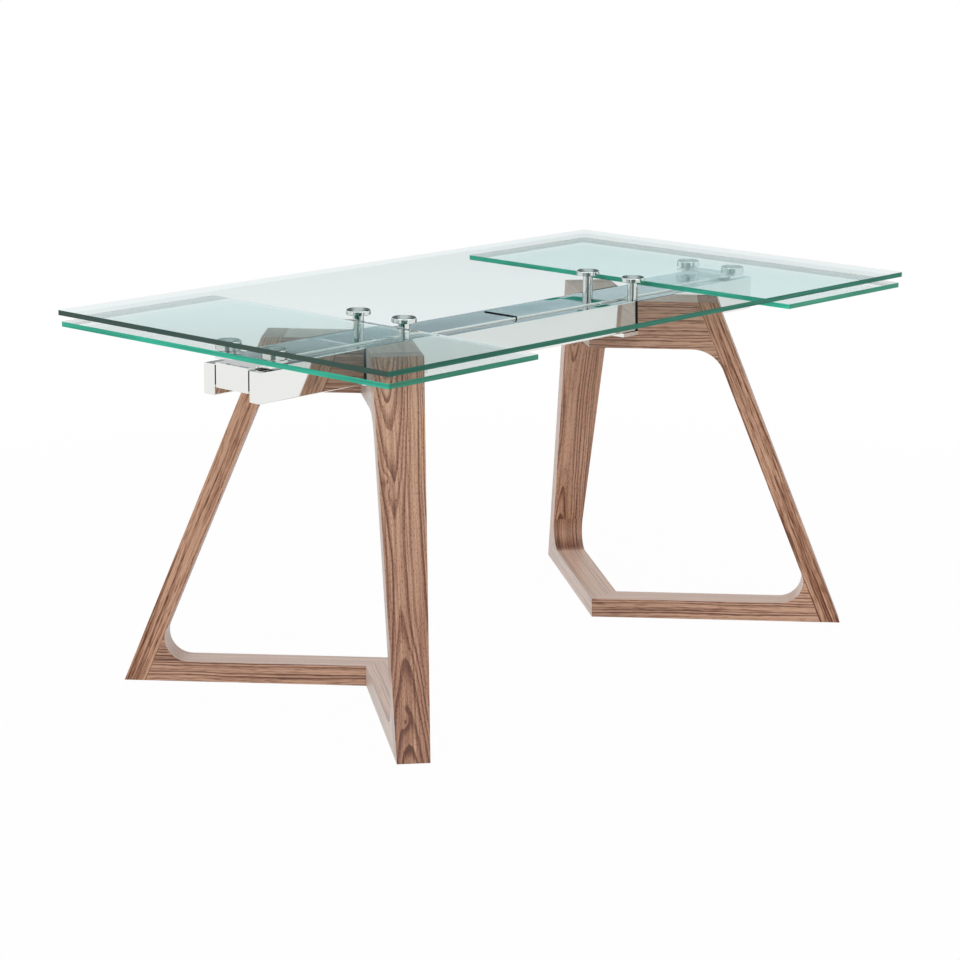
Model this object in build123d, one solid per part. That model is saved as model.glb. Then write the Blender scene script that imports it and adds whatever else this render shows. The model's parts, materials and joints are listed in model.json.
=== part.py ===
"""Extendable dining table: glass top, two sliding glass leaves, two folded wooden leg frames.

Millimetres. The origin is on the floor under the middle of the table. X runs along the table,
Y across it with the front at -Y, and Z is up. Each leaf slides outwards along X.
"""

from build123d import *
import os
from math import cos, radians, sin, tan

# Overall sizes
TABLE_HEIGHT = 765.0
TOP_LENGTH = 1600.0
TOP_WIDTH = 900.0
TOP_GLASS = 10.0
GLASS_CORNER = 4.0

# Sliding leaves
LEAF_LENGTH = 403.0
LEAF_WIDTH = 892.0
LEAF_GLASS = 10.0
LEAF_GAP = 13.0
LEAF_END_SETBACK = 5.0
LEAF_OUT_GAP = 2.0

# Posts that carry the glass
DISC_DIAMETER = 50.0
MAIN_DISC = 9.0
LEAF_DISC = 13.0
DISC_CHAMFER = 1.0
MAIN_STEM_DIAMETER = 22.0
LEAF_STEM_DIAMETER = 28.0
LEAF_STEM = 4.0
BOND_DIAMETER = 46.0
BOND_THICKNESS = 1.0
SPIGOT_DIAMETER = 8.0
DISC_SPIGOT = 6.0
MAIN_POST_SETBACK = 38.0
LEAF_POST_SETBACK = 50.0

# Side rails, box tubes the full length of the beam
RAIL_WIDTH = 30.0
RAIL_HEIGHT = 60.0
RAIL_WALL = 3.0
RAIL_SETBACK = 45.0
TUBE_EDGE = 2.0
CAP_PLATE = 3.0
CAP_PLUG = 12.0

# Centre sliders between the rails
SLIDER_WIDTH = 88.0
SLIDER_STEP = 4.0
SLIDER_WALL = 3.0
UNDER_ROOM = 16.0
SIDE_GAP = 3.5
BUMPER = 2.0

# Glide strips: a strip on each rail with a tongue in the groove of the sliders
TONGUE_HEIGHT = 10.0
TONGUE_DEPTH = 6.0
GLIDE_HEIGHT = 30.0

# Bridge plates that carry the leaf posts over the rails
BRIDGE_LENGTH = 48.0
BRIDGE_THICKNESS = 5.0
BRIDGE_MARGIN = 0.5
BRIDGE_CORNER = 4.0
BRIDGE_SCREW_PITCH_X = 30.0
BRIDGE_SCREW_PITCH_Y = 56.0

# Travel stops
STOP_BLOCK_LENGTH = 10.0
STOP_BLOCK_WIDTH = 60.0
STOP_BAR_LENGTH = 12.0
STOP_ROOM = 3.0

# Leg frames: a trapezoid ring folded to a V in plan, each half turned from the Y axis.
# The fold is set back from the end of the rails, and the reaches run along a half from the fold.
HALF_ANGLE = 39.0
FOLD_SETBACK = 441.0
FOOT_THICKNESS = 63.0
INNER_SWELL = 23.5
OUTER_SWELL = 14.0
FOOT_REACH = 543.0
TOP_REACH = 256.5
LEG_WIDTH = 43.0
BASE_HEIGHT = 41.5
TOP_WEB = 30.0
BASE_FILLET = 48.0
TOP_FILLET = 75.0

# Seat of the rails in the leg frames
CRADLE_THICKNESS = 8.0
CRADLE_LENGTH = 154.0
LINER = 3.5

# Felt pads under the leg frames
FELT_THICKNESS = 2.0
FELT_DIAMETER = 34.0
FELT_INSET = 38.0

# Dowels in the wood joints
DOWEL_DIAMETER = 10.0
DOWEL_LENGTH = 44.0
DOWEL_PITCH = 40.0

# Screws
FRAME_SCREW = 6.0
FRAME_SCREW_HEAD = 12.0
FRAME_SCREW_HEAD_HEIGHT = 5.0
FRAME_SCREW_SPREAD = 56.0
SLIDER_SCREW = 5.0
SLIDER_SCREW_HEAD = 9.0
SLIDER_SCREW_HEAD_HEIGHT = 2.5

# Clearances
RUN_CLEARANCE = 0.3
FIT_CLEARANCE = 0.05

# Heights, worked down from the glass
top_under = TABLE_HEIGHT - TOP_GLASS
leaf_top = top_under - LEAF_GAP
leaf_under = leaf_top - LEAF_GLASS
main_disc_top = top_under - BOND_THICKNESS
main_disc_under = main_disc_top - MAIN_DISC
leaf_disc_top = leaf_under - BOND_THICKNESS
leaf_disc_under = leaf_disc_top - LEAF_DISC
bridge_top = leaf_disc_under - LEAF_STEM
slider_top = bridge_top - BRIDGE_THICKNESS
rail_top = slider_top - SLIDER_STEP
rail_under = rail_top - RAIL_HEIGHT
slider_under = rail_under + UNDER_ROOM
slider_mid = (slider_top + slider_under) / 2
notch_floor = rail_under - CRADLE_THICKNESS
beam_under = notch_floor - TOP_WEB
wood_under = FELT_THICKNESS
base_top = wood_under + BASE_HEIGHT

# Places along the table
beam_end = TOP_LENGTH / 2 - RAIL_SETBACK
leaf_outer = TOP_LENGTH / 2 - LEAF_END_SETBACK
leaf_inner = leaf_outer - LEAF_LENGTH
main_post_x = leaf_inner - MAIN_POST_SETBACK
leaf_post_x = beam_end - LEAF_POST_SETBACK
leaf_travel = TOP_LENGTH / 2 + LEAF_OUT_GAP - leaf_inner
slider_inner = RUN_CLEARANCE + BUMPER

# Places across the table
slider_side = SLIDER_WIDTH / 2
rail_inner_y = slider_side + SIDE_GAP
rail_outer_y = rail_inner_y + RAIL_WIDTH
rail_mid_y = (rail_inner_y + rail_outer_y) / 2
notch_y = rail_outer_y + LINER
post_y = rail_mid_y

# Directions of a leg-frame half: along it, and square to it away from the table's middle
along = Vector(sin(radians(HALF_ANGLE)), cos(radians(HALF_ANGLE)), 0)
outward = Vector(cos(radians(HALF_ANGLE)), -sin(radians(HALF_ANGLE)), 0)
fold_x = beam_end - FOLD_SETBACK
fold_along = fold_x * along.X
floor_inner = fold_x * outward.X
floor_outer = floor_inner + FOOT_THICKNESS
top_inner = floor_inner - INNER_SWELL
top_outer = floor_outer + OUTER_SWELL
reach = 4 * (FOOT_REACH + TOP_LENGTH)

nodes = {}


def block(x0, x1, y0, y1, z0, z1):
    """Box between two corners."""
    return Pos((x0 + x1) / 2, (y0 + y1) / 2, (z0 + z1) / 2) * Box(x1 - x0, y1 - y0, z1 - z0)


def rod(x, y, z0, z1, diameter):
    """Upright cylinder from z0 to z1."""
    return Pos(x, y, (z0 + z1) / 2) * Cylinder(diameter / 2, z1 - z0)


def long_edges(solid, axis=Axis.X):
    """The four outer edges of a bar that run along it."""
    return solid.edges().filter_by(axis)


def on_side(shape, side):
    """The right-hand shape for side +1, or its mirror image for side -1."""
    return shape if side > 0 else mirror(shape, about=Plane.YZ)


def on_face(shape, face):
    """The back shape for face +1, or its mirror image at the front for face -1."""
    return shape if face > 0 else mirror(shape, about=Plane.XZ)


def keep(name, *solids):
    """Store one node, as one solid or as a group of separate solids."""
    separate = [solid for shape in solids for solid in shape.solids()]
    nodes[name] = separate[0] if len(separate) == 1 else Compound(children=separate)


SIDES = {"left": -1, "right": 1}
FACES = {"front": -1, "back": 1}


# Glass
def glass_sheet(x0, x1, width, z0, z1):
    sheet = block(x0, x1, -width / 2, width / 2, z0, z1)
    return fillet(long_edges(sheet, Axis.Z), GLASS_CORNER)


def make_glass():
    keep("main_glass", glass_sheet(-TOP_LENGTH / 2, TOP_LENGTH / 2, TOP_WIDTH, top_under, TABLE_HEIGHT))
    leaf = glass_sheet(leaf_inner, leaf_outer, LEAF_WIDTH, leaf_under, leaf_top)
    for word, side in SIDES.items():
        keep(f"{word}_leaf_glass", on_side(leaf, side))


# Posts: a stem with a spigot at each end, a disc on it, and a bonding pad under the glass
def post_stem(x, y, foot, disc_under, seat_depth, diameter):
    stem = rod(x, y, foot, disc_under, diameter)
    return stem + rod(x, y, foot - seat_depth, disc_under + DISC_SPIGOT, SPIGOT_DIAMETER)


def post_disc(x, y, disc_under, disc_top):
    disc = rod(x, y, disc_under, disc_top, DISC_DIAMETER)
    rims = disc.edges().filter_by(GeomType.CIRCLE)
    disc = chamfer(rims, DISC_CHAMFER)
    bore = rod(x, y, disc_under, disc_under + DISC_SPIGOT, SPIGOT_DIAMETER + 2 * FIT_CLEARANCE)
    return disc - bore


def bond_pad(x, y, disc_top):
    return rod(x, y, disc_top, disc_top + BOND_THICKNESS, BOND_DIAMETER)


def make_main_posts():
    pads = []
    for side_word, side in SIDES.items():
        for face_word, face in FACES.items():
            x = side * main_post_x
            y = face * post_y
            stem = post_stem(x, y, rail_top, main_disc_under, RAIL_WALL, MAIN_STEM_DIAMETER)
            keep(f"{face_word}_{side_word}_post_stem", stem)
            keep(f"{face_word}_{side_word}_post_disc", post_disc(x, y, main_disc_under, main_disc_top))
            pads.append(bond_pad(x, y, main_disc_top))
    keep("main_post_bond_pads", *pads)


def make_leaf_posts():
    for word, side in SIDES.items():
        x = side * leaf_post_x
        places = [(x, face * post_y) for face in FACES.values()]
        seat = (bridge_top, leaf_disc_under, BRIDGE_THICKNESS, LEAF_STEM_DIAMETER)
        stems = [post_stem(px, py, *seat) for px, py in places]
        keep(f"{word}_leaf_post_stems", *stems)
        discs = [post_disc(px, py, leaf_disc_under, leaf_disc_top) for px, py in places]
        keep(f"{word}_leaf_post_discs", *discs)
        keep(f"{word}_leaf_post_bond_pads", *[bond_pad(px, py, leaf_disc_top) for px, py in places])


# Leg frames: points of a half are given along it and up it
def swell(z):
    """Share of the way up the frame at height z."""
    return (z - wood_under) / (rail_top - wood_under)


def lean(z):
    """Place of the outer edge of a leg at height z, along the half."""
    return fold_along + FOOT_REACH + (TOP_REACH - FOOT_REACH) * swell(z)


def joint_line(z):
    """Place of the joint between a leg and the pieces that butt against it."""
    return lean(z) - LEG_WIDTH


def inner_face(z):
    return floor_inner - INNER_SWELL * swell(z)


def outer_face(z):
    return floor_outer + OUTER_SWELL * swell(z)


def face_x(offset, y):
    """X of a plane at the given offset from the middle, at distance y from the centre line."""
    return (offset - y * outward.Y) / outward.X


def half_profile(edges):
    """A closed outline in a half's own plane, pushed through its whole thickness."""
    plane = Plane(origin=(0, 0, 0), x_dir=along, z_dir=outward)
    face = plane * make_face(edges)
    return extrude(face, amount=reach, dir=outward)


def half_envelope():
    """The space between the two faces of a half, which spread apart upwards."""
    plane = Plane(origin=(0, 0, 0), x_dir=outward, z_dir=-along)
    corners = [
        (floor_inner, wood_under),
        (floor_outer, wood_under),
        (top_outer, rail_top),
        (top_inner, rail_top),
    ]
    section = plane * make_face(Polyline(*corners, close=True))
    spread = extrude(section, amount=reach, dir=along, both=True)
    return spread & block(-reach, reach, 0, reach, 0, TABLE_HEIGHT)


def corner_arc(corner, first, second, radius):
    """Tangent points and middle of the arc that rounds a corner between two directions."""
    half_turn = radians(first.get_angle(second)) / 2
    tangent = radius / tan(half_turn)
    bisector = (first + second).normalized()
    centre = corner + bisector * (radius / sin(half_turn))
    return corner + first * tangent, centre - bisector * radius, corner + second * tangent


def rounded_end(start_z, corner_z, radius):
    """Outline of a piece from the centre line to its joint with the leg, with a rounded corner.

    The piece runs from start_z to corner_z, and its round grows along the leg from corner_z.
    """
    away = 1 if corner_z > start_z else -1
    corner = Vector(joint_line(corner_z), corner_z)
    on_leg = (Vector(joint_line(corner_z + away), corner_z + away) - corner).normalized()
    on_piece = Vector(-1, 0)
    leg_point, middle, piece_point = corner_arc(corner, on_leg, on_piece, radius)
    return [
        Line((0, start_z), (joint_line(start_z), start_z)),
        Line((joint_line(start_z), start_z), leg_point),
        ThreePointArc(leg_point, middle, piece_point),
        Line(piece_point, (0, corner_z)),
        Line((0, corner_z), (0, start_z)),
    ]


def leg_outline():
    return Polyline(
        (joint_line(wood_under), wood_under),
        (lean(wood_under), wood_under),
        (lean(rail_top), rail_top),
        (joint_line(rail_top), rail_top),
        close=True,
    )


def dowel_along(z):
    """Dowel across the joint between a leg and a piece at height z, running along the half."""
    middle = along * joint_line(z) + outward * middle_offset(z) + Vector(0, 0, z)
    plane = Plane(origin=middle, z_dir=along)
    return plane * Cylinder(DOWEL_DIAMETER / 2, DOWEL_LENGTH)


def dowel_across(x, z):
    """Dowel across the mitre at the centre line."""
    plane = Plane(origin=(x, 0, z), z_dir=(0, 1, 0))
    return plane * Cylinder(DOWEL_DIAMETER / 2, DOWEL_LENGTH)


def dowel_hole(dowel):
    """The hole that a dowel of the same place sits in."""
    return offset(dowel, FIT_CLEARANCE, kind=Kind.INTERSECTION)


def middle_offset(z):
    return (inner_face(z) + outer_face(z)) / 2


def frame_screw_places():
    """Points on the rails' centre line where the screws pass through a leg frame."""
    middle = face_x(middle_offset(notch_floor), rail_mid_y)
    return [(middle + step * FRAME_SCREW_SPREAD / 2, rail_mid_y) for step in (-1, 1)]


def felt_places():
    """Points under a half where its pads sit."""
    offset_at = (floor_inner + floor_outer) / 2
    mitre = face_x(floor_outer, 0) * along.X
    places = [mitre + FELT_INSET, lean(wood_under) - FELT_INSET]
    return [along * place + outward * offset_at for place in places]


def make_leg_frames():
    envelope = half_envelope()
    notch = block(0, reach, -notch_y, notch_y, notch_floor, TABLE_HEIGHT)
    leg = half_profile(leg_outline()) & envelope
    base = half_profile(rounded_end(wood_under, base_top, BASE_FILLET)) & envelope
    top = half_profile(rounded_end(rail_top, beam_under, TOP_FILLET)) & envelope
    top = top - notch

    base_mid = (wood_under + base_top) / 2
    web_mid = (beam_under + notch_floor) / 2
    shoulder = (notch_floor + rail_top) / 2
    leg_dowels = [dowel_along(base_mid)]
    for step in (-1, 1):
        leg_dowels.append(dowel_along(shoulder + step * DOWEL_PITCH / 2))
    mitre_dowels = [
        dowel_across(face_x(middle_offset(base_mid), 0), base_mid),
        dowel_across(face_x(middle_offset(web_mid), 0), web_mid),
    ]
    for dowel in leg_dowels:
        leg = leg - dowel_hole(dowel)
        base = base - dowel_hole(dowel)
        top = top - dowel_hole(dowel)
    for dowel in mitre_dowels:
        base = base - dowel_hole(dowel)
        top = top - dowel_hole(dowel)
    for x, y in frame_screw_places():
        top = top - rod(x, y, beam_under, notch_floor, FRAME_SCREW + 2 * FIT_CLEARANCE)
        sink = beam_under + FRAME_SCREW_HEAD_HEIGHT
        top = top - rod(x, y, beam_under, sink, FRAME_SCREW_HEAD + 2 * FIT_CLEARANCE)

    wall = block(0, reach, rail_outer_y, notch_y, rail_under, rail_top) & envelope
    felts = [rod(place.X, place.Y, 0, FELT_THICKNESS, FELT_DIAMETER) for place in felt_places()]

    for side_word, side in SIDES.items():
        for face_word, face in FACES.items():
            keep(f"{side_word}_{face_word}_leg", on_side(on_face(leg, face), side))
            keep(f"{side_word}_{face_word}_base", on_side(on_face(base, face), side))
            keep(f"{side_word}_{face_word}_top_beam", on_side(on_face(top, face), side))
        both = [on_face(dowel, face) for dowel in leg_dowels for face in FACES.values()]
        keep(f"{side_word}_dowels", *[on_side(dowel, side) for dowel in both + mitre_dowels])
        walls = [on_side(on_face(wall, face), side) for face in FACES.values()]
        keep(f"{side_word}_notch_liners", *walls)
        pads = [on_side(on_face(pad, face), side) for pad in felts for face in FACES.values()]
        keep(f"{side_word}_floor_pads", *pads)


# Seat of the rails: a plate under both rails in each notch, screwed through from below
def make_cradles():
    middle = face_x(middle_offset(notch_floor), notch_y / 2)
    x0 = middle - CRADLE_LENGTH / 2
    x1 = middle + CRADLE_LENGTH / 2
    plate = block(x0, x1, -notch_y, notch_y, notch_floor, rail_under)
    screws = []
    for x, y in frame_screw_places():
        for face in FACES.values():
            hole = rod(x, face * y, notch_floor, rail_under, FRAME_SCREW + 2 * FIT_CLEARANCE)
            plate = plate - hole
            shank = rod(x, face * y, beam_under, rail_under + RAIL_WALL, FRAME_SCREW)
            head = rod(x, face * y, beam_under, beam_under + FRAME_SCREW_HEAD_HEIGHT, FRAME_SCREW_HEAD)
            screws.append(shank + head)
    for word, side in SIDES.items():
        keep(f"{word}_cradle_plate", on_side(plate, side))
        keep(f"{word}_frame_screws", *[on_side(screw, side) for screw in screws])


# Rails with their end caps
def rail_tube():
    length = beam_end - CAP_PLATE
    tube = block(-length, length, rail_inner_y, rail_outer_y, rail_under, rail_top)
    tube = fillet(long_edges(tube), TUBE_EDGE)
    bore = block(
        -length,
        length,
        rail_inner_y + RAIL_WALL,
        rail_outer_y - RAIL_WALL,
        rail_under + RAIL_WALL,
        rail_top - RAIL_WALL,
    )
    tube = tube - bore
    for side in SIDES.values():
        x = side * main_post_x
        spigot = SPIGOT_DIAMETER + 2 * FIT_CLEARANCE
        tube = tube - rod(x, post_y, rail_top - RAIL_WALL, rail_top, spigot)
        for screw_x, screw_y in frame_screw_places():
            hole = FRAME_SCREW + 2 * FIT_CLEARANCE
            tube = tube - rod(side * screw_x, screw_y, rail_under, rail_under + RAIL_WALL, hole)
    return tube


def rail_cap():
    inset = RAIL_WALL + FIT_CLEARANCE
    face_start = beam_end - CAP_PLATE
    plate = block(face_start, beam_end, rail_inner_y, rail_outer_y, rail_under, rail_top)
    plate = fillet(long_edges(plate), TUBE_EDGE)
    plug = block(
        face_start - CAP_PLUG,
        face_start,
        rail_inner_y + inset,
        rail_outer_y - inset,
        rail_under + inset,
        rail_top - inset,
    )
    return plate + plug


def glide_strip():
    """Strip on the inner face of a rail with a tongue that holds the sliders up and down."""
    length = beam_end - CAP_PLATE - RUN_CLEARANCE
    back = rail_inner_y
    front = slider_side + RUN_CLEARANCE
    strip = block(-length, length, front, back, slider_mid - GLIDE_HEIGHT / 2, slider_mid + GLIDE_HEIGHT / 2)
    tip = slider_side - TONGUE_DEPTH
    z0 = slider_mid - TONGUE_HEIGHT / 2
    z1 = slider_mid + TONGUE_HEIGHT / 2
    tongue = block(-length, length, tip, front, z0, z1)
    return strip + tongue


def make_rails():
    tube = rail_tube()
    strip = glide_strip()
    caps = []
    for word, face in FACES.items():
        keep(f"{word}_rail", on_face(tube, face))
        keep(f"{word}_glide_strip", on_face(strip, face))
        for side in SIDES.values():
            caps.append(on_side(on_face(rail_cap(), face), side))
    keep("rail_end_caps", *caps)


# Sliders: a box section with a groove in each side
def slider_section(x0, x1, shrink):
    """Outer shape of the slider between two places, smaller all round by shrink."""
    side = slider_side - shrink
    body = block(x0, x1, -side, side, slider_under + shrink, slider_top - shrink)
    groove_half = TONGUE_HEIGHT / 2 + RUN_CLEARANCE + shrink
    groove_depth = slider_side - TONGUE_DEPTH - RUN_CLEARANCE - shrink
    for face in FACES.values():
        y0, y1 = sorted((face * groove_depth, face * (slider_side + SIDE_GAP)))
        body = body - block(x0, x1, y0, y1, slider_mid - groove_half, slider_mid + groove_half)
    return body


def slider_outer_edges(solid):
    """The four outermost long edges of a slider or its cap."""
    edges = long_edges(solid)
    return [edge for edge in edges if is_outer_corner(edge.center())]


def is_outer_corner(point):
    at_side = abs(abs(point.Y) - slider_side) < FIT_CLEARANCE
    at_level = min(abs(point.Z - slider_top), abs(point.Z - slider_under)) < FIT_CLEARANCE
    return at_side and at_level


def bridge_screw_places():
    """Places of the screws that hold a bridge plate on its slider."""
    return [
        (leaf_post_x + i * BRIDGE_SCREW_PITCH_X / 2, j * BRIDGE_SCREW_PITCH_Y / 2)
        for i in (-1, 1)
        for j in (-1, 1)
    ]


def stop_places():
    """Places of the screws that hold a stop block under its slider."""
    x = slider_inner + STOP_BLOCK_LENGTH / 2
    return [(x, face * STOP_BLOCK_WIDTH / 4) for face in FACES.values()]


def stop_block():
    x0 = slider_inner
    x1 = slider_inner + STOP_BLOCK_LENGTH
    half = STOP_BLOCK_WIDTH / 2
    solid = block(x0, x1, -half, half, rail_under + STOP_ROOM, slider_under)
    for x, y in stop_places():
        solid = solid - rod(x, y, rail_under + STOP_ROOM, slider_under, SLIDER_SCREW + 2 * FIT_CLEARANCE)
        head_top = rail_under + STOP_ROOM + SLIDER_SCREW_HEAD_HEIGHT
        hole = SLIDER_SCREW_HEAD + 2 * FIT_CLEARANCE
        solid = solid - rod(x, y, rail_under + STOP_ROOM, head_top, hole)
    return solid


def stop_bar():
    """Bar between the rails that the stop block meets when a leaf is fully out."""
    x0 = slider_inner + STOP_BLOCK_LENGTH + leaf_travel + RUN_CLEARANCE
    z1 = slider_under - STOP_ROOM
    return block(x0, x0 + STOP_BAR_LENGTH, -rail_inner_y, rail_inner_y, rail_under, z1)


def bridge_plate():
    y = post_y + LEAF_STEM_DIAMETER / 2 + BRIDGE_MARGIN
    x0 = leaf_post_x - BRIDGE_LENGTH / 2
    x1 = leaf_post_x + BRIDGE_LENGTH / 2
    plate = block(x0, x1, -y, y, slider_top, bridge_top)
    plate = fillet(long_edges(plate, Axis.Z), BRIDGE_CORNER)
    for face in FACES.values():
        spigot = SPIGOT_DIAMETER + 2 * FIT_CLEARANCE
        plate = plate - rod(leaf_post_x, face * post_y, slider_top, bridge_top, spigot)
    for x, y in bridge_screw_places():
        plate = plate - rod(x, y, slider_top, bridge_top, SLIDER_SCREW + 2 * FIT_CLEARANCE)
        hole = SLIDER_SCREW_HEAD + 2 * FIT_CLEARANCE
        plate = plate - rod(x, y, bridge_top - SLIDER_SCREW_HEAD_HEIGHT, bridge_top, hole)
    return plate


def slider_tube():
    outer_end = beam_end - CAP_PLATE
    tube = slider_section(slider_inner, outer_end, 0)
    tube = fillet(slider_outer_edges(tube), TUBE_EDGE)
    tube = tube - slider_section(slider_inner, outer_end, SLIDER_WALL)
    hole = SLIDER_SCREW + 2 * FIT_CLEARANCE
    for x, y in bridge_screw_places():
        tube = tube - rod(x, y, slider_top - SLIDER_WALL, slider_top, hole)
    for x, y in stop_places():
        tube = tube - rod(x, y, slider_under, slider_under + SLIDER_WALL, hole)
    return tube


def slider_cap():
    face_start = beam_end - CAP_PLATE
    half = slider_side
    plate = block(face_start, beam_end, -half, half, slider_under, slider_top)
    plate = fillet(slider_outer_edges(plate), TUBE_EDGE)
    return plate + slider_section(face_start - CAP_PLUG, face_start, SLIDER_WALL + FIT_CLEARANCE)


def slider_screws():
    screws = []
    for x, y in bridge_screw_places():
        shank = rod(x, y, slider_top - SLIDER_WALL, bridge_top, SLIDER_SCREW)
        screws.append(shank + rod(x, y, bridge_top - SLIDER_SCREW_HEAD_HEIGHT, bridge_top, SLIDER_SCREW_HEAD))
    low = rail_under + STOP_ROOM
    for x, y in stop_places():
        shank = rod(x, y, low, slider_under + SLIDER_WALL, SLIDER_SCREW)
        screws.append(shank + rod(x, y, low, low + SLIDER_SCREW_HEAD_HEIGHT, SLIDER_SCREW_HEAD))
    return screws


def make_sliders():
    tube = slider_tube()
    cap = slider_cap()
    bumper = slider_section(RUN_CLEARANCE, slider_inner, 0)
    bridge = bridge_plate()
    stop = stop_block()
    bar = stop_bar()
    screws = slider_screws()
    for word, side in SIDES.items():
        keep(f"{word}_slider", on_side(tube, side))
        keep(f"{word}_slider_end_cap", on_side(cap, side))
        keep(f"{word}_slider_bumper", on_side(bumper, side))
        keep(f"{word}_bridge_plate", on_side(bridge, side))
        keep(f"{word}_stop_block", on_side(stop, side))
        keep(f"{word}_stop_bar", on_side(bar, side))
        keep(f"{word}_slider_screws", *[on_side(screw, side) for screw in screws])


make_glass()
make_main_posts()
make_leaf_posts()
make_leg_frames()
make_cradles()
make_rails()
make_sliders()

os.makedirs("parts", exist_ok=True)
for name, shape in nodes.items():
    export_step(shape, f"parts/{name}.step")
print(len(nodes), "nodes, leaf travel", leaf_travel)
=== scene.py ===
"""Looks of the extendable glass dining table: materials, soft studio light and the camera.

Metres. Object coordinates of every node are the coordinates of the whole table.
"""

import json
from math import cos, radians, sin
from typing import NamedTuple

import bpy
from mathutils import Matrix, Vector


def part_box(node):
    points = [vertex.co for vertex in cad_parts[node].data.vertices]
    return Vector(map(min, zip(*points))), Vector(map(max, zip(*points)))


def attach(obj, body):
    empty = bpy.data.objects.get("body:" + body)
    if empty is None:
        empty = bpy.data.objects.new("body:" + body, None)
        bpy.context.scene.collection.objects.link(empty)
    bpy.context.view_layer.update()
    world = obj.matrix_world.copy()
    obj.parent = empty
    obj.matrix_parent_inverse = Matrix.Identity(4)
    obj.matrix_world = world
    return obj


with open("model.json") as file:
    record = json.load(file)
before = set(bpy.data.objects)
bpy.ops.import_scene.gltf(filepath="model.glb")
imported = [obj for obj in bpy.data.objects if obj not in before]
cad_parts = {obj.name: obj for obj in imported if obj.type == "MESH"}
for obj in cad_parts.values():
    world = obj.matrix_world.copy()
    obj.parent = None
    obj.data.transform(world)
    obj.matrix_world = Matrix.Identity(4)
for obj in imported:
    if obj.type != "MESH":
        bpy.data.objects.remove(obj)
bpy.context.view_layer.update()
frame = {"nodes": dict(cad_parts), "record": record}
nodes = frame["nodes"]

SIDES = {"left": -1, "right": 1}
FACES = {"front": -1, "back": 1}
UP = Vector((0, 0, 1))
LENGTHWISE = Vector((1, 0, 0))
WHITE = (1, 1, 1)

# Camera
CAMERA_PLACE = (-4.3144, -3.8342, 1.7117)
CAMERA_AZIMUTH = -47.987
CAMERA_ELEVATION = 13.156
CAMERA_ROLL = 0.571
CAMERA_LENS = 106.26
SENSOR = 36.0

# Edge softening
WOOD_EDGE = 0.0012
GLASS_EDGE = 0.0008
METAL_EDGE = 0.0012
EDGE_ANGLE = 35.0

# Noise: where most of its values lie, and the detail of a fine one
NOISE_RANGE = (0.3, 0.8)
FINE_DETAIL = 3.0


def solid(rgb):
    return (*rgb, 1.0)


def scaled(rgb, factor):
    return [factor * part for part in rgb]


def towards_camera():
    return Vector((CAMERA_PLACE[0], CAMERA_PLACE[1], 0.0)).normalized()


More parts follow.
